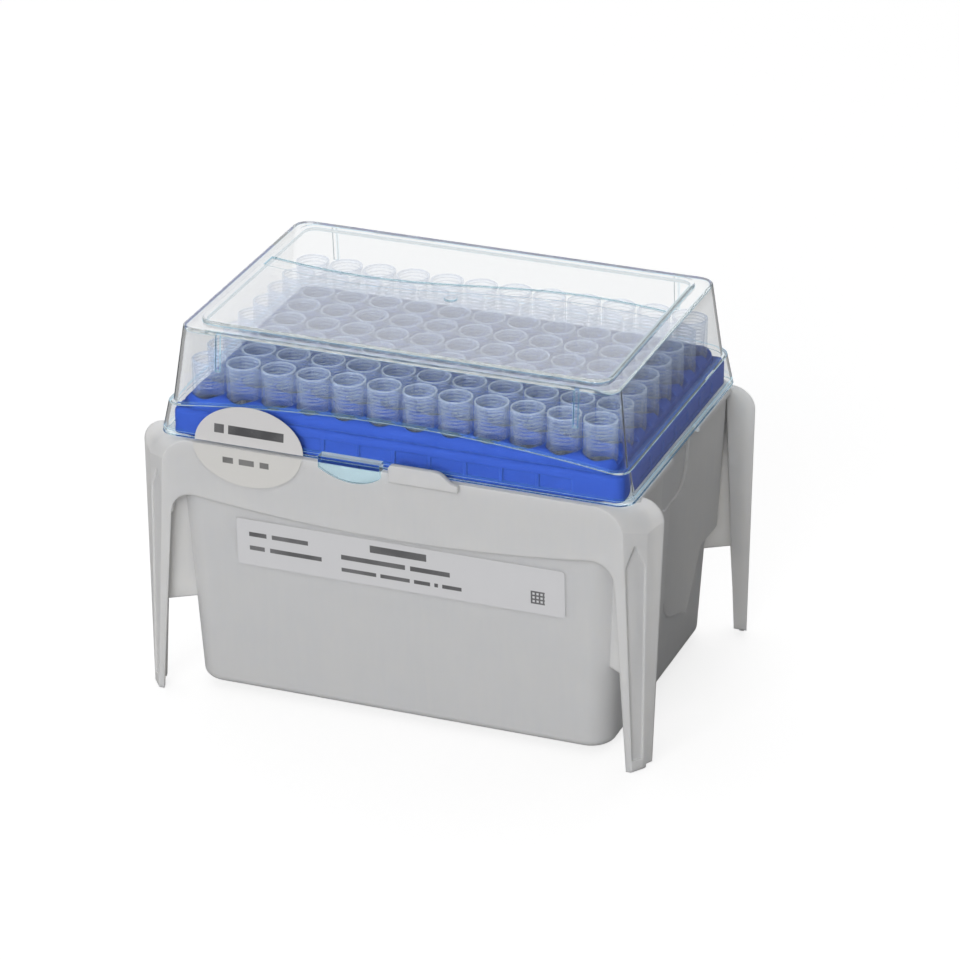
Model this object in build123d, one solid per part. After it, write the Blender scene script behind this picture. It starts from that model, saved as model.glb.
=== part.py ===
"""Hinged box of 96 pipette tips: legged base, rack plate, tips, clear lid and labels.

Frame: millimetres, +Z up, +X along the 12 columns, -Y towards the thumb tab.
The origin is on the floor, under the centre of the tip grid.
"""
import math
import os

from build123d import *

# ---- tip grid -------------------------------------------------------------
pitch = 9.0
columns = 12
rows = 8
grid_half = ((columns - 1) * pitch / 2, (rows - 1) * pitch / 2)

# ---- tips -----------------------------------------------------------------
tip_length = 71.4
collar_gap = 0.7           # between the collars of neighbouring tips
collar_r = (pitch - collar_gap) / 2
collar_height = 10.0
collar_groove = 0.2
ring_pitch = 0.9
ring_count = 7
ring_start = 0.6
collar_wall = 0.55
seat_step = 0.55           # the shaft is this much slimmer than the collar
tip_neck_r = collar_r - seat_step
tip_shaft_r = 2.9
tip_shaft_drop = 30.0
tip_end_r = 0.75
tip_wall = 0.5
tip_mouth_flare = 0.1
tip_mouth_depth = 3.0
tip_end_bore = 0.4

# ---- heights above the floor ----------------------------------------------
foot_rise = 1.2            # tub bottom above the feet
tub_floor = 1.4
tip_floor_gap = 12.0       # the tips' ends hang this far above the tub's floor
seat_rise = 8.0            # tip seats above the base's top face
base_top = foot_rise + tub_floor + tip_floor_gap + tip_length - collar_height - seat_rise
seat_height = base_top + seat_rise
tip_rim = seat_height + collar_height
lid_gap = 0.3              # closed lid stands this far above the base
lid_room = 8.2             # from the tips' rims up to the lid's roof
lid_roof = 1.1
lid_top = tip_rim + lid_room + lid_roof
rim_z = base_top + lid_gap

# ---- rack plate, seen from above --------------------------------------------
seat_clearance = 0.15
platform_margin = (0.8, 0.7)   # platform's edge beyond the outer seats
platform_half = tuple(g + collar_r + seat_clearance + m for g, m in zip(grid_half, platform_margin))
band_out = (2.3, 1.0)      # band's edge beyond the platform's
band_half = tuple(p + b for p, b in zip(platform_half, band_out))

# ---- base -----------------------------------------------------------------
tub_out = (-0.1, 1.8)      # tub's top edge beyond the plate's band
tub_top_half = tuple(b + o for b, o in zip(band_half, tub_out))
tub_draft = 3.4
tub_bottom_half = (tub_top_half[0] - tub_draft, tub_top_half[1] - tub_draft)
tub_corner = 6.5
tub_wall = 1.2
tub_bottom_fillet = 2.2
flange_overhang = (3.1, 1.9)
flange_half = (tub_top_half[0] + flange_overhang[0], tub_top_half[1] + flange_overhang[1])
flange_thick = 1.5
flange_corner = 5.0
skirt_wall = 1.3
skirt_drop_mid = 17.3      # height of the skirt at the middle
skirt_drop_side = 14.2     # and near the legs
skirt_corner = 5.5         # rounding from the skirt's edge into each leg
# rounded shoulders above the legs: cross sections at the front face, the ridge and the outer edge
shoulder_back = (0.0, 3.7, 7.2)     # how far behind the front face
shoulder_out = (-0.8, 4.0, 6.4)     # how far each reaches past the flange
shoulder_across = (8.0, 9.0, 6.0)   # rounding, across
shoulder_down = (10.0, 11.0, 6.0)   # and down
shoulder_flare = (2.6, 1.0, 0.0)    # extra reach at the floor
foot_chamfer = (0.5, 1.2, 1.5)      # bevel under each foot's outer edge
ear_rise = 0.8             # the outer edge's shoulder stands this far above the flange
ear_gap = 0.7              # and starts this far outside it
return_foot_rise = 1.25    # the legs' return walls end this far above the floor
return_foot_back = 3.2     # behind this distance from the front face
leg_wall = 1.4
leg_high_z = base_top - 8.0
# plan corners of one leg, from the flange's corner: corner, ridge, outer edge
leg_low = [(1.5, 0.0), (3.5, -2.3), (4.8, -5.0)]
leg_high = [(-1.5, 0.0), (3.3, -3.7), (6.2, -7.0)]
leg_inner = (0.0, -4.4)    # inner edge of the leg's front wall, low and high
return_inner = (1.5, -0.9)  # inner end of its return wall, low and high
web_foot_z = 23.5          # lower edge of the webs from tub to legs
web_wall = 1.2
groove_depth = 0.45        # shallow channel down each leg's outer face
groove_foot = 3.0
groove_top_drop = 9.5
groove_point = 5.5
groove_share = 0.84        # of the facet's width
pad_proud_mid = 0.2        # side pads stand this proud of the tub
pad_proud_end = 2.4
pad_end_inset = 6.3
# lower outline of each pad's half: (distance from the middle, height)
pad_lobe = [(0, 24.5), (1.3, 21.6), (3.8, 18.8), (6.8, 17.4), (10.1, 16.6), (13.7, 15.5), (15.9, 14.1)]
pad_corner = (23.2, 29.8)
pad_foot_end = 30.5
notch_half = 9.7           # thumb notch in each short side
notch_depth = 16.6
notch_corner = 6.5
notch_flange_cut = 2.0

# ---- labels ---------------------------------------------------------------
film = 0.12
film_gap = 0.02
seal_inset = 23.9
seal_x = seal_inset - flange_half[0]
seal_half = (14.0, 9.9)
label_inset_left = 16.2
label_inset_right = 13.6
label_drop = 19.6
label_height = 12.4
label_corner = 0.8

# ---- thumb tab of the lid and catch lip of the base --------------------------
tab_space = 4.8            # from the seal to the tab
tab_width = 15.6
tab_left = seal_x + seal_half[0] + tab_space
tab_right = tab_left + tab_width
tab_drop = 3.5
tab_gap = 0.35
tab_thick = 1.0
tab_root = 2.0
lip_space = 2.2            # from the tab to the lip
lip_start = tab_right + lip_space
lip_length = 11.4
lip_ramp = 6.0
lip_height = 2.7
lip_depth = 1.4
lip_drop = 1.7

# ---- hinge ----------------------------------------------------------------
hinge_out = 0.7            # axis behind the flange's back edge
hinge_rise = 0.6           # and above its top
hinge_inset = 23.9
hinge_y = flange_half[1] + hinge_out
hinge_z = base_top + hinge_rise
hinge_x = flange_half[0] - hinge_inset
hinge_pin_r = 1.0
hinge_clearance = 0.05
hinge_sleeve_wall = 0.9
hinge_sleeve_r = hinge_pin_r + hinge_clearance + hinge_sleeve_wall
hinge_sleeve_length = 10.0
hinge_lug_r = hinge_pin_r + 0.9
hinge_lug_width = 2.2
hinge_lug_drop = 7.0
hinge_side_gap = 0.35
hinge_slot_gap = 0.4
hinge_arm_height = 1.9

# ---- rack plate -----------------------------------------------------------
hole_clearance = 0.25
platform_rise = 9.7
platform_corner = 4.0
platform_edge = 2.2
band_rise = 6.5
band_corner = 2.0
band_edge = 1.2
spigot_clearance = 0.35
spigot_depth = 5.0
plate_wall = 1.1
deck_thick = 1.4
cell_depth = 0.4
cell_base = 1.0
cell_height = 3.3
cell_rib = 0.9
window_size = (4.4, 2.1)

# ---- lid ------------------------------------------------------------------
lid_shift = -0.3           # centre of the lid from the centre of the tips
lid_wall = 0.9
lid_corner = 4.0
lid_tip_gap = (0.45, 0.05)  # at roof height, inside of the walls to the collars
lid_top_half = tuple(g + collar_r + c + lid_wall for g, c in zip(grid_half, lid_tip_gap))
lid_band_gap = (2.0, 1.4)  # at the rim, inside of the walls to the plate's band
lid_rim_half = tuple(b + c + lid_wall for b, c in zip(band_half, lid_band_gap))
lid_upper_slope = (0.124, 0.09)     # mm outward for each mm down
lid_lower_slope = (0.19, 0.10)
ledge_rise_mid = 11.8      # arched ledge above the rim
ledge_rise_end = 8.0
ledge_end_inset = 3.4
ledge_spare = 0.2
lid_edge_fillet = 0.7
rim_line_height = 1.2
rim_line_width = 0.5
rim_line_depth = 0.2
panel_margin = (3.4, 3.6)
panel_half = tuple(h - m for h, m in zip(lid_top_half, panel_margin))
panel_rise = 0.9
panel_corner = 4.0
panel_edge = 0.4
wave_mid = 6.9
wave_swing = 3.7
wave_start = 2.5
wave_width = 5.2
wave_depth = 0.35
wave_margin = 1.0
gate_radius = 1.6
gate_rise = 0.3
rib_x = (columns / 2 - 1) * pitch
rib_width = 1.1
rib_length = 10.1
rib_proud = 0.8


# ---- shared shapes --------------------------------------------------------
def rounded(half, corner, z):
    """Rounded rectangle of the given half sizes, at height z."""
    return Plane.XY.offset(z) * RectangleRounded(2 * half[0], 2 * half[1], corner)


def tapered(z0, half0, z1, half1, corner):
    """Straight-sided solid between two rounded rectangles."""
    return loft([rounded(half0, corner, z0), rounded(half1, corner, z1)], ruled=True)


def slab(half, corner, z0, z1):
    return extrude(rounded(half, corner, z0), amount=z1 - z0)


def box(x0, x1, y0, y1, z0, z1):
    centre = ((x0 + x1) / 2, (y0 + y1) / 2, (z0 + z1) / 2)
    return Pos(*centre) * Box(x1 - x0, y1 - y0, z1 - z0)


def grow(half, amount):
    return (half[0] + amount, half[1] + amount)


def rod(radius, x0, x1, y, z):
    """Round bar along X."""
    return Pos((x0 + x1) / 2, y, z) * Rot(0, 90, 0) * Cylinder(radius, x1 - x0)


def along_y(face, y0, y1):
    """A face drawn on the XZ plane (x, z), extruded from y0 to y1."""
    return extrude(Plane.XZ.offset(-y0) * face, amount=-(y1 - y0))


def along_x(face, x0, x1):
    """A face drawn on the YZ plane (y, z), extruded from x0 to x1."""
    return extrude(Plane.YZ.offset(x0) * face, amount=x1 - x0)


def four_corners(solid):
    half = solid + mirror(solid, Plane.YZ)
    return half + mirror(half, Plane.XZ)


def offset_line(points, distance):
    """The open polyline moved sideways by distance, with mitred corners."""
    moved = []
    for i, point in enumerate(points):
        normals = []
        for a, b in ((i - 1, i), (i, i + 1)):
            if a >= 0 and b < len(points):
                dx = points[b][0] - points[a][0]
                dy = points[b][1] - points[a][1]
                length = math.hypot(dx, dy)
                normals.append((dy / length, -dx / length))
        nx = sum(n[0] for n in normals)
        ny = sum(n[1] for n in normals)
        scale = distance * len(normals) / (nx * nx + ny * ny)
        if len(normals) == 1:
            scale = distance
        moved.append((point[0] + nx * scale, point[1] + ny * scale))
    return moved


def tub_half(z, inset=0.0):
    """Half sizes of the tub's outer wall at height z, less an inset."""
    share = (z - foot_rise) / (base_top - foot_rise)
    return tuple(a + (b - a) * share - inset for a, b in zip(tub_bottom_half, tub_top_half))


def between(low, high, z):
    """The value at height z on the straight line from low (floor) to high (leg_high_z)."""
    return low + (high - low) * z / leg_high_z


def leg_outline(z):
    """Open plan line of one leg's outer face, front wall round to return wall."""
    fx, fy = flange_half
    corner, ridge, edge = [(fx + between(a[0], b[0], z), fy + between(a[1], b[1], z))
                           for a, b in zip(leg_low, leg_high)]
    inner_x = fx + between(*leg_inner, z)
    return_x = fx + between(*return_inner, z)
    return [(inner_x, corner[1]), corner, ridge, edge, (return_x, edge[1])]


def prism(points_low, z_low, points_high, z_high):
    """Straight-sided solid between two plan polygons of the same corner count."""
    low = make_face(Polyline(*[(x, y, z_low) for x, y in points_low], close=True))
    high = make_face(Polyline(*[(x, y, z_high) for x, y in points_high], close=True))
    return loft([low, high], ruled=True)


# ---- base -----------------------------------------------------------------
def shoulder_outline(n, inset):
    """Cross section n of the base's rounded block: floor, bevelled foot, side and shoulder."""
    x1 = flange_half[0] + shoulder_out[n] - inset
    z1 = base_top - inset + (ear_rise if n == 2 else 0)
    across = shoulder_across[n] - inset
    down = shoulder_down[n] - inset
    pull = 4 / 3 * math.tan(math.pi / 8)      # quarter ellipse as one curve
    floor_x = x1 + shoulder_flare[n]
    chamfer = foot_chamfer[n]
    edges = [Line((chamfer - floor_x, -inset), (floor_x - chamfer, -inset))]
    for side in (1, -1):
        edges.append(Polyline((side * (floor_x - chamfer), -inset), (side * floor_x, chamfer - inset),
                              (side * x1, z1 - down)))
        edges.append(Bezier((side * x1, z1 - down), (side * x1, z1 - down + pull * down),
                            (side * (x1 - across + pull * across), z1), (side * (x1 - across), z1)))
    edges.append(Line((x1 - across, z1), (across - x1, z1)))
    return make_face(edges)


def base_envelope(inset):
    """Rounded block that all of the base's outer walls are trimmed to."""
    places = [flange_half[1] - back for back in shoulder_back]
    ear = shoulder_outline(2, inset)
    middle = along_y(ear, -places[2], places[2])
    sections = [Plane.XZ.offset(-places[n]) * shoulder_outline(n, inset) for n in (2, 1, 0)]
    back = loft(sections, ruled=True)
    return middle + back + mirror(back, Plane.XZ)


def leg_solid():
    """Outer block of one leg before hollowing."""
    top = base_top + ear_rise
    plans = [leg_outline(z) for z in (0, top)]
    block = prism(plans[0], 0, plans[1], top)
    return block - box(0, flange_half[0] * 2, 0, flange_half[1] - return_foot_back, -1, return_foot_rise)


def leg_hollow():
    """The space inside one leg's open channel."""
    top = base_top + ear_rise
    plans = []
    for z in (-1, top):
        line = offset_line(leg_outline(z), leg_wall)
        first = (line[0][0] - 4, line[0][1])
        last = (line[-1][0] - 4, line[-1][1])
        plans.append([first] + line[1:-1] + [last])
    return prism(plans[0], -1, plans[1], top)


def leg_groove():
    """Shallow channel with a pointed top between a leg's corner and its ridge."""
    def strip(z, spread):
        corner, ridge = leg_outline(z)[1:3]
        dx, dy = ridge[0] - corner[0], ridge[1] - corner[1]
        length = math.hypot(dx, dy)
        out = (-dy / length, dx / length)
        ends = []
        for share, depth in ((0.5 - spread, 0.5), (0.5 + spread, 0.5),
                             (0.5 + spread, -groove_depth), (0.5 - spread, -groove_depth)):
            ends.append((corner[0] + dx * share + out[0] * depth,
                         corner[1] + dy * share + out[1] * depth))
        return ends
    top = base_top - groove_top_drop
    neck = top - groove_point
    wide = groove_share / 2
    shaft = prism(strip(groove_foot, wide), groove_foot, strip(neck, wide), neck)
    point = prism(strip(neck, wide), neck, strip(top, 0.02), top)
    return shaft + point


def web():
    """Upright web from the tub's corner to the facet behind one leg's ridge."""
    plans = []
    for z in (0, base_top):
        start_x, start_y = (h - tub_corner for h in tub_half(z))
        corner, ridge = offset_line(leg_outline(z), leg_wall / 2)[1:3]
        end_x, end_y = (corner[0] + ridge[0]) / 2, (corner[1] + ridge[1]) / 2
        dx, dy = end_x - start_x, end_y - start_y
        half = web_wall / 2 / math.hypot(dx, dy)
        plans.append([(start_x + dy * half, start_y - dx * half), (end_x + dy * half, end_y - dx * half),
                      (end_x - dy * half, end_y + dx * half), (start_x - dy * half, start_y + dx * half)])
    plate = prism(plans[0], 0, plans[1], base_top)
    return plate & box(0, flange_half[0] * 2, 0, flange_half[1], web_foot_z, base_top - flange_thick / 2)


def skirt():
    """Front or back apron (+Y side) with its arched lower edge."""
    arch_side = base_top - skirt_drop_side
    arch_mid = base_top - skirt_drop_mid
    edge_x = leg_outline(arch_side)[0][0]
    foot_z = arch_side - skirt_corner
    foot_x = leg_outline(foot_z)[0][0]
    side = edge_x - skirt_corner
    over = foot_x + 1
    bend = skirt_corner * (1 - math.sqrt(0.5))
    edges = [
        ThreePointArc((-side, arch_side), (0, arch_mid), (side, arch_side)),
        ThreePointArc((side, arch_side), (foot_x - bend, arch_side - bend), (foot_x, foot_z)),
        Line((foot_x, foot_z), (over, foot_z)),
        Line((over, foot_z), (over, base_top)),
        Line((over, base_top), (-over, base_top)),
        Line((-over, base_top), (-over, foot_z)),
        Line((-over, foot_z), (-foot_x, foot_z)),
        ThreePointArc((-foot_x, foot_z), (-foot_x + bend, arch_side - bend), (-side, arch_side)),
    ]
    return along_y(make_face(edges), flange_half[1] - skirt_wall, flange_half[1])


def side_pad():
    """Two-facet grip pad on the +X wall, with the thumb notch cut from its top."""
    side = tub_top_half[1] - pad_end_inset
    foot = pad_lobe[-1][1] - 1
    plans = []
    for z in (foot, base_top):
        x = tub_half(z)[0]
        back = x - tub_wall + 0.1
        plans.append([(back, -side), (x + pad_proud_end, -side),
                      (x + pad_proud_mid, 0), (x + pad_proud_end, side),
                      (back, side)])
    pad = prism(plans[0], foot, plans[1], base_top)
    edges = []
    for sign in (1, -1):
        lobe = [(sign * y, z) for y, z in pad_lobe]
        edges.append(Spline(*lobe))
        edges.append(Polyline(lobe[-1], (sign * pad_corner[0], pad_corner[1]), (sign * side, pad_foot_end),
                              (sign * side, base_top)))
    edges.append(Line((side, base_top), (-side, base_top)))
    far = flange_half[0] * 2
    pad = pad & along_x(make_face(edges), 0, far)
    return pad - along_x(notch_face(), 0, far)


def notch_face():
    """Outline of the thumb notch, in (y, z)."""
    height = notch_depth + 2
    middle = base_top + 2 - height / 2
    block = Pos(0, middle + notch_corner) * Rectangle(2 * notch_half, height)
    round_part = Pos(0, middle) * RectangleRounded(2 * notch_half, height, notch_corner)
    return round_part + block


def catch_lip():
    """Raised lip on the front flange beside the lid's thumb tab."""
    low = base_top - lip_drop
    top = base_top + lip_height
    r = 0.9
    bend = r * (1 - math.sqrt(0.5))
    lip_end = lip_start + lip_length
    end = lip_end + lip_ramp
    edges = [
        Line((lip_start, low), (lip_start, top - r)),
        ThreePointArc((lip_start, top - r), (lip_start + bend, top - bend), (lip_start + r, top)),
        Line((lip_start + r, top), (lip_end, top)),
        Spline((lip_end, top), (end, base_top), tangents=((1, 0), (1, 0))),
        Line((end, base_top), (end, low)),
        Line((end, low), (lip_start, low)),
    ]
    front = -flange_half[1] - lip_depth
    return along_y(make_face(edges), front, -flange_half[1] + 0.1)


def hinge_places():
    return (-hinge_x, hinge_x)


def hinge_lugs():
    """Lugs and pins at the back that carry the lid."""
    parts = []
    reach = hinge_sleeve_length / 2 + hinge_side_gap
    for x in hinge_places():
        parts.append(rod(hinge_pin_r, x - reach - 1, x + reach + 1, hinge_y, hinge_z))
        for side in (-1, 1):
            inner = x + side * reach
            outer = inner + side * hinge_lug_width
            x0, x1 = min(inner, outer), max(inner, outer)
            parts.append(rod(hinge_lug_r, x0, x1, hinge_y, hinge_z))
            root = flange_half[1] - skirt_wall + 0.1
            back = hinge_y + hinge_lug_r
            foot = base_top - hinge_lug_drop
            outline = Polyline((root, foot), (flange_half[1], foot), (back, hinge_z - 2.5),
                               (back, hinge_z), (hinge_y - hinge_lug_r, hinge_z),
                               (root, base_top), close=True)
            parts.append(along_x(make_face(outline), x0, x1))
    return parts


def hinge_slots():
    """Room in the flange for the lid's sleeves to turn."""
    reach = hinge_sleeve_length / 2 + hinge_side_gap
    radius = hinge_sleeve_r + hinge_slot_gap
    return [rod(radius, x - reach, x + reach, hinge_y, hinge_z) for x in hinge_places()]


def make_base():
    """The whole one-piece base: tub, flange, skirts, legs, webs, pads, lip and lugs."""
    flange = slab(flange_half, flange_corner, base_top - flange_thick, base_top)
    for side in (-1, 1):
        x0, x1 = sorted((side * (flange_half[0] - notch_flange_cut), side * flange_half[0] * 2))
        flange = flange - box(x0, x1, -notch_half, notch_half, 0, base_top + 1)
    leg = leg_solid() - (leg_hollow() & base_envelope(leg_wall))
    leg = leg - leg_groove() + web()
    outer = four_corners(leg) + flange + skirt() + mirror(skirt(), Plane.XZ)
    outer = outer & base_envelope(0)
    inside = flange_half[0] + ear_gap
    outer = outer - box(-inside, inside, -flange_half[1] - 1, flange_half[1] + 1, base_top, base_top + 5)
    for slot in hinge_slots():
        outer = outer - slot
    tub = tapered(foot_rise, tub_bottom_half, base_top, tub_top_half, tub_corner)
    tub = fillet(tub.faces().sort_by(Axis.Z)[0].edges(), tub_bottom_fillet)
    pads = side_pad() + mirror(side_pad(), Plane.YZ)
    base = outer + tub + pads + catch_lip()
    for part in hinge_lugs():
        base = base + part
    floor_z = foot_rise + tub_floor
    room = tapered(floor_z, tub_half(floor_z, tub_wall), base_top + 1,
                   tub_half(base_top + 1, tub_wall), tub_corner - tub_wall)
    room = fillet(room.faces().sort_by(Axis.Z)[0].edges(), tub_bottom_fillet - tub_floor)
    return base - room


# ---- rack plate and tips ----------------------------------------------------
def column_x(i):
    return (i - (columns - 1) / 2) * pitch


def row_y(j):
    return (j - (rows - 1) / 2) * pitch


def make_rack_plate():
    """Blue plate that closes the tub and holds the tips by their collars."""
    band_top = base_top + band_rise
    platform_top = base_top + platform_rise
    band = slab(band_half, band_corner, base_top, band_top)
    band = fillet(band.faces().sort_by(Axis.Z)[-1].edges(), band_edge)
    platform = slab(platform_half, platform_corner, band_top - 1, platform_top)
    platform = fillet(platform.faces().sort_by(Axis.Z)[-1].edges(), platform_edge)
    spigot_half = tub_half(base_top - spigot_depth, tub_wall + spigot_clearance)
    spigot_corner = tub_corner - tub_wall
    spigot = slab(spigot_half, spigot_corner, base_top - spigot_depth, base_top + 1)
    plate = band + platform + spigot
    room = slab(grow(spigot_half, -plate_wall), spigot_corner - plate_wall,
                base_top - spigot_depth - 1, seat_height - deck_thick)
    plate = plate - room
    cell_z = base_top + cell_base + cell_height / 2
    for i in range(columns - 2):
        x = column_x(i + 1)
        for y in (-band_half[1], band_half[1]):
            plate -= Pos(x, y, cell_z) * Box(pitch - cell_rib, 2 * cell_depth, cell_height)
    for j in range(1, rows - 1):
        for x in (-band_half[0], band_half[0]):
            plate -= Pos(x, row_y(j), cell_z) * Box(2 * cell_depth, pitch - cell_rib, cell_height)
    seat_r = collar_r + seat_clearance
    hole_r = tip_neck_r + hole_clearance
    seats = []
    for i in range(columns):
        for j in range(rows):
            at = (column_x(i), row_y(j))
            seats.append(Pos(*at, seat_height + 2) * Cylinder(seat_r, 4))
            seats.append(Pos(*at, seat_height - 1) * Cylinder(hole_r, 4))
    for x in (-platform_half[0], platform_half[0]):
        for j in range(rows):
            at = Pos(x, row_y(j), seat_height + window_size[1] / 2)
            seats.append(at * Box(4, window_size[0], window_size[1]))
    return cut_all(plate, seats)


def cut_all(solid, tools):
    return solid.cut(*[t.solids()[0] for t in tools])


def make_tip():
    """One tip, standing on the Z axis at its real height."""
    end = tip_rim - tip_length
    shaft_z = seat_height - tip_shaft_drop
    outer = [(tip_end_r, end), (tip_shaft_r, shaft_z), (tip_neck_r, seat_height), (collar_r, seat_height)]
    first = tip_rim - ring_start - ring_pitch * (ring_count - 0.5)
    mouth_r = collar_r - collar_wall
    for n in range(ring_count):
        z = first + n * ring_pitch
        outer += [(collar_r, z), (collar_r - collar_groove, z + ring_pitch * 0.25),
                  (collar_r, z + ring_pitch * 0.5)]
    outer += [(collar_r, tip_rim)]
    inner = [(mouth_r + tip_mouth_flare, tip_rim), (mouth_r, tip_rim - tip_mouth_depth),
             (tip_neck_r - tip_wall, seat_height - 1), (tip_shaft_r - tip_wall, shaft_z),
             (tip_end_bore, end)]
    outline = Polyline(*[(r, 0, z) for r, z in outer + inner], close=True)
    return revolve(make_face(outline), Axis.Z)


def make_column(i):
    tip = make_tip()
    return [Pos(column_x(i), row_y(j), 0) * tip for j in range(rows)]


# ---- lid --------------------------------------------------------------------
def lid_upper(inset, z_top):
    """Tapered upper body of the lid, standing down to the rim."""
    z0 = rim_z - inset
    drop = lid_top - z0
    low = [h + s * drop - inset for h, s in zip(lid_top_half, lid_upper_slope)]
    rise = lid_top - z_top
    high = [h + s * rise - inset for h, s in zip(lid_top_half, lid_upper_slope)]
    return tapered(z0, low, z_top, high, lid_corner - inset)


def lid_lower(inset):
    """Wider lower body, cut off under an arched ledge."""
    z0 = rim_z - inset
    lid_lower_reach = ledge_rise_mid + ledge_spare
    z1 = rim_z + lid_lower_reach
    ledge_mid = rim_z + ledge_rise_mid
    low = [h + s * inset - inset for h, s in zip(lid_rim_half, lid_lower_slope)]
    high = [h - s * lid_lower_reach - inset for h, s in zip(lid_rim_half, lid_lower_slope)]
    body = tapered(z0, low, z1, high, lid_corner - inset)
    far = lid_rim_half[0] + 1
    ledge_end_x = lid_rim_half[0] - ledge_end_inset
    sag = (ledge_rise_mid - ledge_rise_end) * (far / ledge_end_x) ** 2
    arch = ThreePointArc((-far, ledge_mid - sag - inset), (0, ledge_mid - inset),
                         (far, ledge_mid - sag - inset))
    sides = Polyline((far, ledge_mid - sag - inset), (far, z0 - 1), (-far, z0 - 1),
                     (-far, ledge_mid - sag - inset))
    return body & along_y(make_face([arch, *sides.edges()]), -flange_half[1], flange_half[1])


def rim_line():
    """Fine groove that runs round the lid just above its rim."""
    heights = (rim_line_height, rim_line_height + rim_line_width)
    low, high = [[h - s * drop - rim_line_depth for h, s in zip(lid_rim_half, lid_lower_slope)]
                 for drop in heights]
    z0, z1 = [rim_z + drop for drop in heights]
    core = tapered(z0, low, z1, high, lid_corner - rim_line_depth)
    return slab(grow(lid_rim_half, 3), lid_corner, z0, z1) - core


def wave_band():
    """The S-shaped sunk band across the lid's top panel."""
    reach = panel_half[0] - wave_margin
    wave_length = 2 * lid_top_half[0]

    def line(offset):
        points = []
        for n in range(9):
            x = -reach + 2 * reach * n / 8
            y = wave_mid + wave_swing * math.sin(2 * math.pi * (x - wave_start) / wave_length)
            points.append((x, y + offset))
        return points
    low, high = line(-wave_width / 2), line(wave_width / 2)
    edges = [Spline(*low), Line(low[-1], high[-1]), Spline(*high), Line(high[0], low[0])]
    top = lid_top + panel_rise
    return extrude(Plane.XY.offset(top - wave_depth) * make_face(edges), amount=2 * wave_depth)


def thumb_tab():
    """Tab that hangs in front of the base's skirt."""
    root_z = rim_z
    top = root_z + tab_root
    low = root_z - tab_drop
    blade_back = -flange_half[1] - tab_gap
    blade_front = blade_back - tab_thick
    width = tab_width
    edges = [
        Line((tab_right, top), (tab_left, top)),
        Line((tab_left, top), (tab_left, low + 2.6)),
        Spline((tab_left, low + 2.6), (tab_left + 0.33 * width, low + 0.3), (tab_left + 0.72 * width, low),
               (tab_right, low + 1.9)),
        Line((tab_right, low + 1.9), (tab_right, top)),
    ]
    blade = along_y(make_face(edges), blade_front, blade_back)
    wall_front = -lid_rim_half[1] + lid_shift
    return blade + box(tab_left, tab_right, blade_front, wall_front + 0.5, root_z, top)


def make_lid():
    """Clear hinged lid."""
    outer = lid_upper(0, lid_top)
    outer = fillet(outer.faces().sort_by(Axis.Z)[-1].edges(), lid_edge_fillet)
    outer = outer + lid_lower(0)
    panel = slab(panel_half, panel_corner, lid_top - 0.5, lid_top + panel_rise)
    panel = fillet(panel.faces().sort_by(Axis.Z)[-1].edges(), panel_edge)
    outer = outer + panel
    inner = lid_upper(lid_wall, lid_top - lid_roof) + lid_lower(lid_wall)
    inner += slab(grow(panel_half, -lid_roof), panel_corner - lid_roof,
                  lid_top - lid_roof - 1, lid_top + panel_rise - lid_roof)
    lid = Pos(0, lid_shift, 0) * (outer - inner - rim_line())
    lid = lid - wave_band()
    lid = lid + Pos(0, lid_shift, lid_top + panel_rise) * Cylinder(gate_radius, 2 * gate_rise)
    for x in (-rib_x, rib_x):
        for side in (-1, 1):
            lid = lid + lid_rib(x, side)
    lid = lid + thumb_tab()
    bore = hinge_pin_r + hinge_clearance
    for x in hinge_places():
        x0, x1 = x - hinge_sleeve_length / 2, x + hinge_sleeve_length / 2
        wall_back = lid_rim_half[1] + lid_shift
        arm_low = rim_z + 0.05
        lid = lid + rod(hinge_sleeve_r, x0, x1, hinge_y, hinge_z)
        lid = lid + box(x0, x1, wall_back - 0.6, hinge_y, arm_low, arm_low + hinge_arm_height)
        lid = lid - rod(bore, x0 - 1, x1 + 1, hinge_y, hinge_z)
    return lid


def lid_rib(x, side):
    """Short upright rib inside the lid's long walls, under the roof."""
    points = []
    for z in (lid_top - rib_length, lid_top - lid_roof + 0.2):
        wall = lid_top_half[1] + lid_upper_slope[1] * (lid_top - z) - lid_wall
        points.append((lid_shift + side * (wall + 0.2), z))
    inner = [(y - side * (rib_proud + 0.2), z) for y, z in reversed(points)]
    return along_x(make_face(Polyline(*points, *inner, close=True)), x - rib_width / 2, x + rib_width / 2)


# ---- labels -----------------------------------------------------------------
def make_seal_lid():
    """Upper half of the oval seal, on the lid's lower front wall."""
    slope = lid_lower_slope[1]
    lean = Plane(origin=(seal_x, lid_shift - lid_rim_half[1] - film_gap, rim_z),
                 x_dir=(1, 0, 0), z_dir=(0, -1, slope))
    a, b = seal_half
    half = Ellipse(a, b) & Pos(0, b) * Rectangle(3 * a, 2 * b - 0.2)
    return extrude(lean * half, amount=film)


def make_seal_base():
    """Lower half of the oval seal, on the base's front skirt."""
    face = Plane(origin=(seal_x, -flange_half[1] - film_gap, rim_z),
                 x_dir=(1, 0, 0), z_dir=(0, -1, 0))
    a, b = seal_half
    half = Ellipse(a, b) & Pos(0, -b) * Rectangle(3 * a, 2 * b - 2 * lid_gap - 0.2)
    return extrude(face * half, amount=film)


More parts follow.
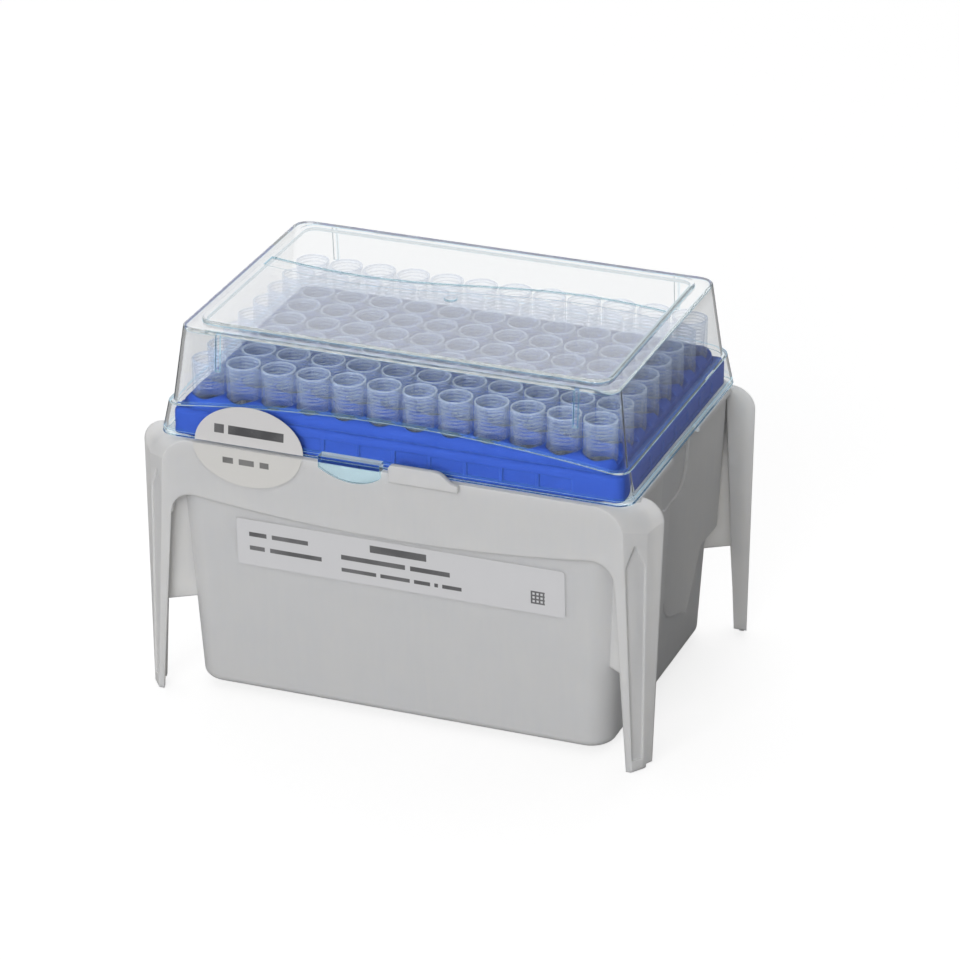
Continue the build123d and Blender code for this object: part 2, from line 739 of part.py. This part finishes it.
def make_product_label():
    """Long label on the tub's sloping front wall."""
    slope = (tub_top_half[1] - tub_bottom_half[1]) / (base_top - foot_rise)
    middle = base_top - label_drop - label_height / 2
    left = label_inset_left - tub_top_half[0]
    right = tub_top_half[0] - label_inset_right
    lean = Plane(origin=((left + right) / 2, -tub_half(middle)[1] - film_gap, middle),
                 x_dir=(1, 0, 0), z_dir=(0, -1, -slope))
    return extrude(lean * RectangleRounded(right - left, label_height, label_corner), amount=film)


# ---- files ------------------------------------------------------------------
def write(name, shape):
    shape.label = name
    export_step(shape, f"parts/{name}.step")


def main():
    os.makedirs("parts", exist_ok=True)
    write("base", make_base())
    write("rack_plate", make_rack_plate())
    for i in range(columns):
        write(f"tips_column_{i + 1:02d}", Compound(children=make_column(i)))
    write("lid", make_lid())
    write("seal_label_lid", make_seal_lid())
    write("seal_label_base", make_seal_base())
    write("product_label", make_product_label())


main()
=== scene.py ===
# %% [markdown]
# # A box of pipette tips
#
# The box is a white moulded base on four legs, a blue plate that holds 96 clear
# tips, and a clear lid that swings on a hinge at the back. All of these shapes
# come from the CAD frame and are never changed here. This lesson gives them
# their plastics, prints the labels, and sets up a small white studio.

# %% Load the frame
import math

import bpy
from mathutils import Matrix, Vector


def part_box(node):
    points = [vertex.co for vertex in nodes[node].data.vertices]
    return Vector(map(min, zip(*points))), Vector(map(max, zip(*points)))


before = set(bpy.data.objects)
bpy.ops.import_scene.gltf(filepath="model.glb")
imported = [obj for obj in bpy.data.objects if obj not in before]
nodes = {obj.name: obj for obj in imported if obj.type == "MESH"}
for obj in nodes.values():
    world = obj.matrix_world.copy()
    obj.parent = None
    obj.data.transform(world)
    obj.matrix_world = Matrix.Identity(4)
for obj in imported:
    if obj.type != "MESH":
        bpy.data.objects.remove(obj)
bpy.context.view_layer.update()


# %% [markdown]
# ## The camera
#
# The long lens stands about a metre away, a little to the right and above, so
# the box shows its front, its right end and its roof with almost no
# perspective. A camera in Blender looks along its own -Z axis. Its matrix is
# built from an azimuth, an elevation, a small roll and the point it looks at,
# which says more than three Euler angles would.
#
# One limit of Cycles belongs to this view too. A ray ends in black once it has
# crossed eight transparent surfaces, and a look through several rows of tips
# crosses many more, so the tips would turn grey. The limit goes up to 64.

# %% Camera
lens_mm = 167.94
view_angles = {"azimuth": 21.1226, "elevation": 25.2159, "roll": -0.1768}
view_target = Vector((0.0063, 0.00247, 0.04808))
view_distance = 1.0925
transparent_limit = 64


def look_from(azimuth, elevation, roll, target, distance):
    """World matrix of a camera that looks at target from those angles, in degrees."""
    a, e = math.radians(azimuth), math.radians(elevation)
    back = Vector((math.sin(a) * math.cos(e), -math.cos(a) * math.cos(e), math.sin(e)))
    right = Vector((math.cos(a), math.sin(a), 0))
    up = back.cross(right)
    turn = Matrix.Rotation(math.radians(roll), 3, back)
    axes = Matrix((turn @ right, turn @ up, back)).transposed().to_4x4()
    return Matrix.Translation(target + back * distance) @ axes


camera_data = bpy.data.cameras.new("camera")
camera_data.sensor_width = 36
camera_data.lens = lens_mm
camera_data.clip_start = 0.05
camera_data.clip_end = 20
camera = bpy.data.objects.new("camera", camera_data)
bpy.context.scene.collection.objects.link(camera)
camera.matrix_world = look_from(**view_angles, target=view_target, distance=view_distance)
bpy.context.scene.camera = camera
bpy.context.scene.view_settings.view_transform = "Standard"
bpy.context.scene.cycles.transparent_max_bounces = transparent_limit
print("lens", camera_data.lens, "mm, transparent surfaces up to", transparent_limit)


# %% [markdown]
# ## Small helpers
#
# Every material starts the same way: a Principled shader whose plain sockets
# take their numbers directly, and a Texture Coordinate node that hands out
# Object coordinates, which are metres in the frame. The other helpers only
# save typing: one adds a node and fills its sockets, where a value may also be
# another node's output, and the rest do a sum, a clamped ramp or a blend.

# %% Material helpers
def new_material(name, **sockets):
    """A material with one Principled shader; returns (material, shader)."""
    material = bpy.data.materials.new(name)
    material.use_nodes = True
    shader = material.node_tree.nodes["Principled BSDF"]
    for socket, value in sockets.items():
        shader.inputs[socket.replace("_", " ")].default_value = value
    return material, shader


def add(tree, kind, settings=None, **sockets):
    """Adds a shader node; each socket takes a value or another node's output."""
    node = tree.nodes.new("ShaderNode" + kind)
    for name, value in (settings or {}).items():
        setattr(node, name, value)
    for name, value in sockets.items():
        key = int(name[1:]) if name[1:].isdigit() else name.replace("_", " ")
        if isinstance(value, bpy.types.NodeSocket):
            tree.links.new(value, node.inputs[key])
        else:
            node.inputs[key].default_value = value
    return node


def sums(tree, operation, a, b=0.0, clamp=False):
    """The output of one Math node."""
    return add(tree, "Math", {"operation": operation, "use_clamp": clamp}, i0=a, i1=b).outputs[0]


def ramp(tree, value, low, high, at_low=0.0, at_high=1.0):
    """A value that goes from at_low to at_high while the input goes from low to high."""
    return add(tree, "MapRange", Value=value, From_Min=low, From_Max=high,
               To_Min=at_low, To_Max=at_high).outputs[0]


def blend_colour(tree, share, a, b):
    """The output of one colour Mix node."""
    settings = {"data_type": "RGBA", "clamp_factor": True}
    return add(tree, "Mix", settings, i0=share, i6=a, i7=b).outputs[2]


def blend_value(tree, share, a, b):
    """The output of one Mix node for plain numbers."""
    return add(tree, "Mix", {"data_type": "FLOAT"}, i0=share, i2=a, i3=b).outputs[0]


def add_relief(tree, shader, skin, distance, **sockets):
    """Bumps a shader's surface by the height of the moulded skin."""
    bump = add(tree, "Bump", Distance=distance, Height=skin["Height"], **sockets)
    tree.links.new(bump.outputs[0], shader.inputs["Normal"])


def show(material, shader):
    """Makes a shader the material's surface."""
    output = material.node_tree.nodes["Material Output"]
    material.node_tree.links.new(shader.outputs[0], output.inputs["Surface"])


def dress(node_name, material):
    """Gives a CAD node one material on all its slots."""
    obj = nodes[node_name]
    obj.data.materials.clear()
    obj.data.materials.append(material)
    print(node_name, "is dressed in", material.name)


# %% [markdown]
# ## Shared effects
#
# A shader node group is a small machine that is built once and placed in many
# materials. The first group here is the skin of injection moulded plastic: a
# very fine grain from the tool's surface, slow flow marks where the melt ran
# down the walls, and a few hair scratches. It hands out a height for a Bump
# node and two masks that change from place to place.

# %% Group maker
def new_group(name, inputs, outputs):
    """An empty shader group; an input's value is a socket type or a default number."""
    group = bpy.data.node_groups.new(name, "ShaderNodeTree")
    for direction, sockets in (("INPUT", inputs), ("OUTPUT", outputs)):
        for socket, kind in sockets.items():
            value = None
            if isinstance(kind, (int, float)):
                kind, value = "NodeSocketFloat", kind
            item = group.interface.new_socket(socket, in_out=direction, socket_type=kind)
            if value is not None:
                item.default_value = value
    entry = group.nodes.new("NodeGroupInput")
    leave = group.nodes.new("NodeGroupOutput")
    return group, entry.outputs, leave.inputs


def place(tree, group, **sockets):
    """Places a group in a tree and returns its outputs."""
    return add(tree, "Group", {"node_tree": group}, **sockets).outputs


# %% Group: moulded skin
def make_moulded_skin():
    """Grain, flow marks and scratches of moulded plastic."""
    group, given, result = new_group(
        "moulded_skin",
        {"Vector": "NodeSocketVector", "Grain Scale": 2600.0, "Flow Scale": 90.0},
        {"Height": "NodeSocketFloat", "Flow": "NodeSocketFloat", "Scratches": "NodeSocketFloat"})

    def noise(vector, scale, **sockets):
        return add(group, "TexNoise", Vector=vector, Scale=scale, **sockets).outputs[0]

    here = given["Vector"]
    grain = noise(here, given["Grain Scale"], Detail=3.0, Roughness=0.65)
    slow = noise(here, given["Flow Scale"], Detail=2.0)
    drawn_down = add(group, "Mapping", Vector=here, Scale=(1.0, 1.0, 0.12)).outputs[0]
    lines = noise(drawn_down, 620.0, Detail=3.0, Distortion=0.4)
    turned = add(group, "Mapping", Vector=here, Rotation=(0.5, 0.9, 0.4), Scale=(1.0, 0.07, 1.0)).outputs[0]
    hair = ramp(group, noise(turned, 1500.0, Detail=2.0, Distortion=1.1), 0.69, 0.76)
    patches = ramp(group, noise(here, 70.0, Detail=1.0), 0.5, 0.62)
    scratches = sums(group, "MULTIPLY", hair, patches)
    flow = sums(group, "ADD", sums(group, "MULTIPLY", slow, 0.6), sums(group, "MULTIPLY", lines, 0.4))
    height = sums(group, "ADD", sums(group, "MULTIPLY", grain, 0.5), sums(group, "MULTIPLY", slow, 1.6))
    height = sums(group, "SUBTRACT", height, sums(group, "MULTIPLY", scratches, 0.4))
    group.links.new(height, result["Height"])
    group.links.new(flow, result["Flow"])
    group.links.new(scratches, result["Scratches"])
    return group


moulded_skin = make_moulded_skin()
print("group", moulded_skin.name, "with", len(moulded_skin.nodes), "nodes")


# %% [markdown]
# Edges show up on real plastic: corners are rubbed a little paler, and clear
# plastic gathers its colour there. On the opaque plastics the paler edges are
# partly that wear and partly a painted highlight, for the light that a rounded
# edge catches. They could be painted by hand, but the Bevel node finds them by
# itself. It gives the normal that the surface would have if its edges were
# rounded, so where that differs from the true normal there is an edge nearby.

# %% Group: edges
def make_edge_finder():
    """Mask of the edges, and the normal of the rounded surface."""
    group, given, result = new_group(
        "edge_finder", {"Radius": 0.0006, "Strength": 2.0},
        {"Edge": "NodeSocketFloat", "Normal": "NodeSocketVector"})
    rounded = add(group, "Bevel", {"samples": 6}, Radius=given["Radius"]).outputs[0]
    true = add(group, "NewGeometry").outputs["Normal"]
    same = add(group, "VectorMath", {"operation": "DOT_PRODUCT"}, i0=rounded, i1=true).outputs["Value"]
    apart = sums(group, "SUBTRACT", 1.0, same)
    edge = sums(group, "MULTIPLY", apart, given["Strength"], clamp=True)
    group.links.new(edge, result["Edge"])
    group.links.new(rounded, result["Normal"])
    return group


edge_finder = make_edge_finder()
print("group", edge_finder.name, "with", len(edge_finder.nodes), "nodes")


# %% [markdown]
# ## The white base
#
# The base is opaque white polypropylene, satin rather than glossy. Its colour
# drifts slightly along the flow marks, the edges are a touch paler and smoother,
# partly from rubbing and partly as a painted highlight, and the scratches catch
# the light. A little subsurface scattering softens the shading of the thin legs
# and webs.

# %% Base plastic
def moulded_material(name, colour, flow_colour, wear_and_highlight_colour, roughness, bump, **sockets):
    """Opaque moulded plastic with flow marks, scratches and edges that are paler from wear and a painted
    highlight.
    """
    material, shader = new_material(name, **sockets)
    tree = material.node_tree
    here = add(tree, "TexCoord").outputs["Object"]
    skin = place(tree, moulded_skin, Vector=here)
    edges = place(tree, edge_finder, Radius=0.0005, Strength=2.5)
    paint = blend_colour(tree, ramp(tree, skin["Flow"], 0.35, 0.65), colour, flow_colour)
    # Paler edges: partly rubbed wear, partly a painted highlight.
    paint = blend_colour(tree, sums(tree, "MULTIPLY", edges["Edge"], 0.6), paint, wear_and_highlight_colour)
    paint = blend_colour(tree, sums(tree, "MULTIPLY", skin["Scratches"], 0.35), paint, wear_and_highlight_colour)
    tree.links.new(paint, shader.inputs["Base Color"])
    rough = ramp(tree, skin["Flow"], 0.3, 0.7, roughness - 0.05, roughness + 0.05)
    rough = sums(tree, "SUBTRACT", rough, sums(tree, "MULTIPLY", edges["Edge"], 0.1))
    rough = sums(tree, "ADD", rough, sums(tree, "MULTIPLY", skin["Scratches"], 0.15), clamp=True)
    tree.links.new(rough, shader.inputs["Roughness"])
    add_relief(tree, shader, skin, bump, Strength=1.0, Normal=edges["Normal"])
    return material


dress("base", moulded_material(
    "base_plastic", colour=(0.76, 0.755, 0.745, 1), flow_colour=(0.735, 0.735, 0.735, 1),
    wear_and_highlight_colour=(0.85, 0.85, 0.845, 1), roughness=0.42, bump=0.00002,
    Subsurface_Weight=0.6, Subsurface_Scale=0.005, Subsurface_Radius=(1.0, 0.96, 0.88)))

# %% [markdown]
# ## The blue plate
#
# The plate that holds the tips is deep blue. It is made by the same recipe with
# other numbers, which is what the function is for. Its specular level is almost
# nought: at a grazing angle a shine would lay a white veil over the blue.

# %% Plate plastic
dress("rack_plate", moulded_material(
    "plate_plastic", colour=(0.030, 0.072, 0.35, 1), flow_colour=(0.026, 0.064, 0.32, 1),
    wear_and_highlight_colour=(0.07, 0.17, 0.52, 1), roughness=0.5, bump=0.000012, Specular_IOR_Level=0.03))


# %% [markdown]
# ## The tips
#
# The tips are thin natural plastic, almost clear, with a little milk in it and
# the blue plate showing through. Glass would look too dark in such a forest of
# thin walls, so each wall is mostly a Transparent shader and only for a small
# share a pale Principled one. Layer Weight raises that share where a wall is
# seen edge on, which draws each tip's outline.
#
# A collar has seven fine grooves. The CAD shape has them too, but walls this
# clear hardly show it, so the share also rises along the bottom of each groove
# and at the rim. Both are found by the depth below the rims, which are level.

# %% Measures of the collars, in metres
tip_columns = [name for name in nodes if name.startswith("tips_column")]
rim_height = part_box(tip_columns[0])[1][2]
first_ring = 0.000825
ring_pitch = 0.0009
ring_count = 7
ring_depth = first_ring + (ring_count - 0.5) * ring_pitch
print("rims at", round(rim_height * 1000, 1), "mm, rings down to", round(ring_depth * 1000, 2), "mm below")


# %% Tip plastic
def collar_lines(tree, here):
    """How much denser the wall is at the rim and along each ring."""
    depth = sums(tree, "SUBTRACT", rim_height, add(tree, "SeparateXYZ", Vector=here).outputs["Z"])
    from_ring = sums(tree, "PINGPONG", sums(tree, "SUBTRACT", depth, first_ring), ring_pitch / 2)
    ring = ramp(tree, from_ring, 0.00005, 0.00016, 0.24, 0.0)
    collar = sums(tree, "LESS_THAN", depth, ring_depth)
    rim = ramp(tree, depth, 0.0002, 0.0005, 0.28, 0.0)
    return sums(tree, "MAXIMUM", sums(tree, "MULTIPLY", ring, collar), rim)


def make_tip_plastic():
    """Thin walls, mostly clear, with a little milk."""
    material, shader = new_material("tip_plastic", Roughness=0.18, IOR=1.49)
    tree = material.node_tree
    here = add(tree, "TexCoord").outputs["Object"]
    skin = place(tree, moulded_skin, Vector=here, Grain_Scale=3200.0, Flow_Scale=160.0)
    paint = blend_colour(tree, skin["Flow"], (0.46, 0.52, 0.66, 1), (0.52, 0.57, 0.70, 1))
    tree.links.new(paint, shader.inputs["Base Color"])
    add_relief(tree, shader, skin, 0.000008, Strength=1.0)
    facing = add(tree, "LayerWeight", Blend=0.12).outputs["Facing"]
    cloud = ramp(tree, skin["Flow"], 0.3, 0.7, 0.008, 0.024)
    milk = sums(tree, "ADD", cloud, sums(tree, "MULTIPLY", facing, 0.6))
    milk = sums(tree, "ADD", milk, collar_lines(tree, here), clamp=True)
    clear = add(tree, "BsdfTransparent", Color=(0.975, 0.98, 0.99, 1))
    show(material, add(tree, "MixShader", i0=milk, i1=clear.outputs[0], i2=shader.outputs[0]))
    return material


tip_plastic = make_tip_plastic()
for name in tip_columns:
    dress(name, tip_plastic)


# %% [markdown]
# ## The lid
#
# The lid is a clear plastic such as polystyrene, tinted a faint blue that
# gathers to teal in its corners and edges, as in the edge of a sheet of glass.
# The Principled shader with full transmission bends the light. Its IOR is set
# below polystyrene's 1.59, so that the thin walls bend and mirror less. A clear
# sheet also pipes light to its edges, along paths that a renderer rarely finds,
# so a weak teal emission in the edges stands for them. The thumb tab is thick
# and gets a deeper tint, and the roof gets a glossy coat for its sheen.
#
# The Light Path node tells what kind of ray asks. Lamps can't shine through
# glass in Cycles without a caustic, so for shadow rays a Transparent shader of
# much the same tint stands in. It also stands in once a ray has bounced more
# than three times: such a ray is lost inside the sheet, would come back black,
# and would draw the edges as black lines.

# %% Lid plastic
lid_low, lid_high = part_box("lid")
print("thumb tab's face at Y", round(lid_low[1] * 1000, 1), "mm")
print("roof at Z", round(lid_high[2] * 1000, 1), "mm")


def lid_colours(tree, shader, edges, here):
    """Tint, glow of the edges, tint of the thumb tab and sheen of the roof."""
    spot = add(tree, "SeparateXYZ", Vector=here).outputs
    tab = ramp(tree, spot["Y"], lid_low[1] + 0.0011, lid_low[1] + 0.0014, 1.0, 0.0)
    roof = ramp(tree, spot["Z"], lid_high[2] - 0.005, lid_high[2] - 0.0025, 0.0, 0.85)
    tint = blend_colour(tree, edges["Edge"], (0.985, 0.993, 0.997, 1), (0.42, 0.70, 0.82, 1))
    tint = blend_colour(tree, tab, tint, (0.54, 0.63, 0.66, 1))
    piped = blend_colour(tree, edges["Edge"], (0, 0, 0, 1), (0.025, 0.08, 0.11, 1))
    tree.links.new(tint, shader.inputs["Base Color"])
    tree.links.new(roof, shader.inputs["Coat Weight"])
    tree.links.new(piped, shader.inputs["Emission Color"])


def make_lid_plastic():
    """Clear sheet with teal edges; shadow rays and lost rays go straight through."""
    material, shader = new_material("lid_plastic", IOR=1.28, Transmission_Weight=1.0,
                                    Emission_Strength=1.0, Coat_IOR=1.5, Coat_Roughness=0.06)
    tree = material.node_tree
    here = add(tree, "TexCoord").outputs["Object"]
    skin = place(tree, moulded_skin, Vector=here, Grain_Scale=900.0, Flow_Scale=45.0)
    edges = place(tree, edge_finder, Radius=0.0007, Strength=3.0)
    lid_colours(tree, shader, edges, here)
    rough = ramp(tree, skin["Scratches"], 0.0, 1.0, 0.015, 0.22)
    rough = sums(tree, "MAXIMUM", rough, sums(tree, "MULTIPLY", edges["Edge"], 0.15))
    tree.links.new(rough, shader.inputs["Roughness"])
    add_relief(tree, shader, skin, 0.000005, Strength=0.6)
    path = add(tree, "LightPath").outputs
    lost = sums(tree, "GREATER_THAN", path["Ray Depth"], 3.0)
    straight_on = sums(tree, "MAXIMUM", path["Is Shadow Ray"], lost)
    clear = add(tree, "BsdfTransparent", Color=(0.90, 0.96, 0.985, 1))
    show(material, add(tree, "MixShader", i0=straight_on, i1=shader.outputs[0], i2=clear.outputs[0]))
    return material


dress("lid", make_lid_plastic())


# %% [markdown]
# ## Printed labels
#
# The box has a long product label and an oval seal, which is slit where the lid
# opens. A printed mark is a mask: one inside the mark, nought outside. The group
# below makes a bar with crisp, slightly soft ends from the X and Z of Object
# coordinates, because all three films face the front. Rows of plain bars stand
# where a label has its lines of text, so nothing can be read.

# %% Group: printed bar
def make_printed_bar():
    """Mask of one upright rectangle, given in metres."""
    group, given, result = new_group(
        "printed_bar",
        {"Vector": "NodeSocketVector", "Left": 0.0, "Right": 0.01, "Middle": 0.0, "Height": 0.001},
        {"Mask": "NodeSocketFloat"})
    axes = add(group, "SeparateXYZ", Vector=given["Vector"]).outputs
    soft_edge = 0.00008
    masks = []
    centre = sums(group, "MULTIPLY", sums(group, "ADD", given["Left"], given["Right"]), 0.5)
    half = sums(group, "MULTIPLY", sums(group, "SUBTRACT", given["Right"], given["Left"]), 0.5)
    tall = sums(group, "MULTIPLY", given["Height"], 0.5)
    for axis, middle, reach in ((axes["X"], centre, half), (axes["Z"], given["Middle"], tall)):
        away = sums(group, "ABSOLUTE", sums(group, "SUBTRACT", axis, middle))
        inside = sums(group, "SUBTRACT", reach, away)
        masks.append(sums(group, "DIVIDE", inside, soft_edge, clamp=True))
    group.links.new(sums(group, "MULTIPLY", *masks), result["Mask"])
    return group


printed_bar = make_printed_bar()
print("group", printed_bar.name, "with", len(printed_bar.nodes), "nodes")


# %% Label films
def label_material(name, paper, cloud, ink, bars):
    """Satin film with ink bars, each (left, right, middle, height) in millimetres."""
    material, shader = new_material(name, Coat_Weight=0.25, Coat_Roughness=0.12)
    tree = material.node_tree
    here = add(tree, "TexCoord").outputs["Object"]
    skin = place(tree, moulded_skin, Vector=here, Grain_Scale=4200.0, Flow_Scale=110.0)
    printed = 0.0
    for left, right, middle, height in bars:
        sizes = dict(Left=left / 1000, Right=right / 1000, Middle=middle / 1000, Height=height / 1000)
        printed = sums(tree, "MAXIMUM", printed, place(tree, printed_bar, Vector=here, **sizes)["Mask"])
    cover = sums(tree, "MULTIPLY", printed, ramp(tree, skin["Height"], 0.6, 1.2, 0.82, 1.0))
    film = blend_colour(tree, cover, blend_colour(tree, skin["Flow"], paper, cloud), ink)
    tree.links.new(film, shader.inputs["Base Color"])
    tree.links.new(ramp(tree, printed, 0.0, 1.0, 0.34, 0.5), shader.inputs["Roughness"])
    add_relief(tree, shader, skin, 0.00001, Strength=1.0)
    return material


def row_of_bars(start, lengths, gap, middle, height):
    """Bars like the words of one line of text."""
    bars, left = [], start
    for length in lengths:
        bars.append((left, left + length, middle, height))
        left += length + gap
    return bars


def box_in_mm(node_name):
    """Lowest and highest corner of a CAD node, in millimetres."""
    return [[v * 1000 for v in corner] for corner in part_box(node_name)]


# %% Product label, with a plain lattice at its right end
low, high = box_in_mm("product_label")
middle = (low[2] + high[2]) / 2
product_bars = row_of_bars(low[0] + 3.2, (4.6, 9.5), 1.3, middle + 2.3, 1.25)
product_bars += row_of_bars(low[0] + 3.2, (4.0, 13.5), 1.3, middle - 1.4, 1.25)
product_bars += row_of_bars(low[0] + 34.5, (14.5,), 1.0, middle + 3.7, 2.0)
product_bars += row_of_bars(low[0] + 27.0, (16.5, 10.2), 1.2, middle + 0.2, 1.35)
product_bars += row_of_bars(low[0] + 27.0, (9.0, 7.6, 4.2, 1.0, 5.0), 1.0, middle - 3.2, 1.1)
lattice = high[0] - 8.6
lattice_line = 0.5
for step in range(4):
    product_bars.append((lattice, lattice + 3.6, middle - 3.4 + step, lattice_line))
    product_bars.append((lattice + step, lattice + step + lattice_line, middle - 1.9, 3.5))
dress("product_label", label_material(
    "product_film", paper=(0.75, 0.75, 0.765, 1), cloud=(0.72, 0.72, 0.74, 1),
    ink=(0.13, 0.13, 0.135, 1), bars=product_bars))
print("product label has", len(product_bars), "printed bars")

# %% Seal, in two halves
# The two halves get slightly different paper and ink: painted light, for the different light on the lid
# above and on the base below the lid's edge.
low, high = box_in_mm("seal_label_lid")
seal_x = (low[0] + high[0]) / 2
seal_z = low[2]
dress("seal_label_lid", label_material(
    "label_film", paper=(0.72, 0.71, 0.71, 1), cloud=(0.70, 0.69, 0.69, 1), ink=(0.08, 0.08, 0.085, 1),
    bars=row_of_bars(seal_x - 9.0, (2.6, 14.4), 1.0, seal_z + 3.6, 2.3)))
dress("seal_label_base", label_material(
    "label_film_lower", paper=(0.745, 0.735, 0.71, 1), cloud=(0.73, 0.72, 0.70, 1),
    ink=(0.17, 0.17, 0.17, 1),
    bars=row_of_bars(seal_x - 6.4, (2.8, 4.0, 2.4), 1.4, seal_z - 3.7, 1.6)))


# %% [markdown]
# ## The studio
#
# The background is plain white. A white world would also light the box from all
# sides and leave pale plastic flat, so the world answers each kind of ray in
# its own way. It is white for the camera and for what is seen straight through
# the lid. As a light it is weak overhead and in front, stronger from behind and
# weakest from the right, so that the right end stays in soft shade. Mirrored
# rays see white too, but much less towards the right, as if a dark flag stood
# there, which keeps the lid's right wall clear. Rays that were mirrored inside
# the lid see a plain middle level, so its edges turn neither white nor black.

# %% World
def white_world(overhead, back, right, flag_share, inside_sheet):
    """White to look at; as a light, one level overhead, one from behind and one from +X."""
    world = bpy.data.worlds.new("studio")
    bpy.context.scene.world = world
    world.use_nodes = True
    tree = world.node_tree
    path = add(tree, "LightPath").outputs
    unmirrored = sums(tree, "LESS_THAN", path["Glossy Depth"], 0.5)
    through = sums(tree, "MULTIPLY", path["Is Transmission Ray"], unmirrored)
    seen = sums(tree, "MAXIMUM", path["Is Camera Ray"], through)
    way = add(tree, "SeparateXYZ", Vector=add(tree, "TexCoord").outputs["Generated"]).outputs
    to_right = ramp(tree, way["X"], 0.1, 0.9)
    light = blend_value(tree, to_right, ramp(tree, way["Y"], -0.2, 0.8, overhead, back), right)
    flag = sums(tree, "SUBTRACT", 1.0, sums(tree, "MULTIPLY", to_right, flag_share))
    mirrored = sums(tree, "MAXIMUM", light, sums(tree, "MULTIPLY", path["Is Glossy Ray"], flag))
    strength = blend_value(tree, seen, mirrored, 1.0)
    bounced = sums(tree, "SUBTRACT", path["Is Transmission Ray"], unmirrored, clamp=True)
    deep = sums(tree, "GREATER_THAN", path["Ray Depth"], 2.5)
    inside = sums(tree, "MAXIMUM", bounced, sums(tree, "MULTIPLY", path["Is Glossy Ray"], deep))
    strength = blend_value(tree, inside, strength, inside_sheet)
    background = tree.nodes["Background"]
    background.inputs["Color"].default_value = (1, 1, 1, 1)
    tree.links.new(strength, background.inputs["Strength"])
    print("world", world.name, "with", len(tree.nodes), "nodes")


white_world(overhead=0.34, back=1.5, right=0.1, flag_share=0.8, inside_sheet=0.6)


# %% [markdown]
# The main light is one large soft lamp, in front of the box and above it. It is
# hidden from mirrored rays, because its own picture would lie along the lid's
# edges as wide white bands.

# %% Lamp
def area_light(name, position, target, size, watts):
    """A square lamp at position that shines at target."""
    data = bpy.data.lights.new(name, "AREA")
    data.size = size
    data.energy = watts
    lamp = bpy.data.objects.new(name, data)
    bpy.context.scene.collection.objects.link(lamp)
    lamp.location = position
    lamp.rotation_euler = (Vector(target) - Vector(position)).to_track_quat("-Z", "Y").to_euler()
    return lamp


key = area_light("key", position=(0.02, -1.25, 0.5), target=(0, 0, 0.05), size=0.8, watts=10.2)
key.visible_glossy = False
print("lamp", key.name, "gives", round(key.data.energy, 1), "watts")


# %% [markdown]
# The floor has to look white and still keep the object's shadow. Its paint is
# a diffuse grey that the lamp lights, and for the camera's own rays it also
# glows just enough to bring the lit part up to white. Where the box shades the
# floor, only the lamp's part is missing, so a soft grey shadow stays. Seen
# through the lid the floor glows too, though less once the ray was mirrored. To
# a mirrored ray it is darker and hardly glows, or the lid's right wall would
# lay a white floor over the plate behind it.

# %% Floor paint
def make_floor_paint(glow, mirrored_glow, mirrored_through):
    """Grey paint that glows for the camera, and less for other rays."""
    material, shader = new_material("floor_paint", Roughness=0.7, Specular_IOR_Level=0.0,
                                    Emission_Color=(1, 1, 1, 1))
    tree = material.node_tree
    path = add(tree, "LightPath").outputs
    unmirrored = sums(tree, "LESS_THAN", path["Glossy Depth"], 0.5)
    share = ramp(tree, unmirrored, 0.0, 1.0, mirrored_through, 1.0)
    through = sums(tree, "MULTIPLY", path["Is Transmission Ray"], share)
    mirrored = sums(tree, "MULTIPLY", path["Is Glossy Ray"], mirrored_glow)
    seen = sums(tree, "MAXIMUM", path["Is Camera Ray"], sums(tree, "MAXIMUM", mirrored, through))
    tree.links.new(sums(tree, "MULTIPLY", seen, glow), shader.inputs["Emission Strength"])
    paint = blend_colour(tree, path["Is Glossy Ray"], (0.36, 0.36, 0.36, 1), (0.13, 0.13, 0.13, 1))
    tree.links.new(paint, shader.inputs["Base Color"])
    return material


# %% Floor
floor_gap = 0.0002
bpy.ops.object.select_all(action="DESELECT")
bpy.ops.mesh.primitive_plane_add(size=8, location=(0, 0, -floor_gap))
floor = bpy.context.object
floor.name = "floor"
floor.data.materials.append(make_floor_paint(glow=0.76, mirrored_glow=0.03, mirrored_through=0.4))
print("floor is", floor.dimensions.x, "m wide")
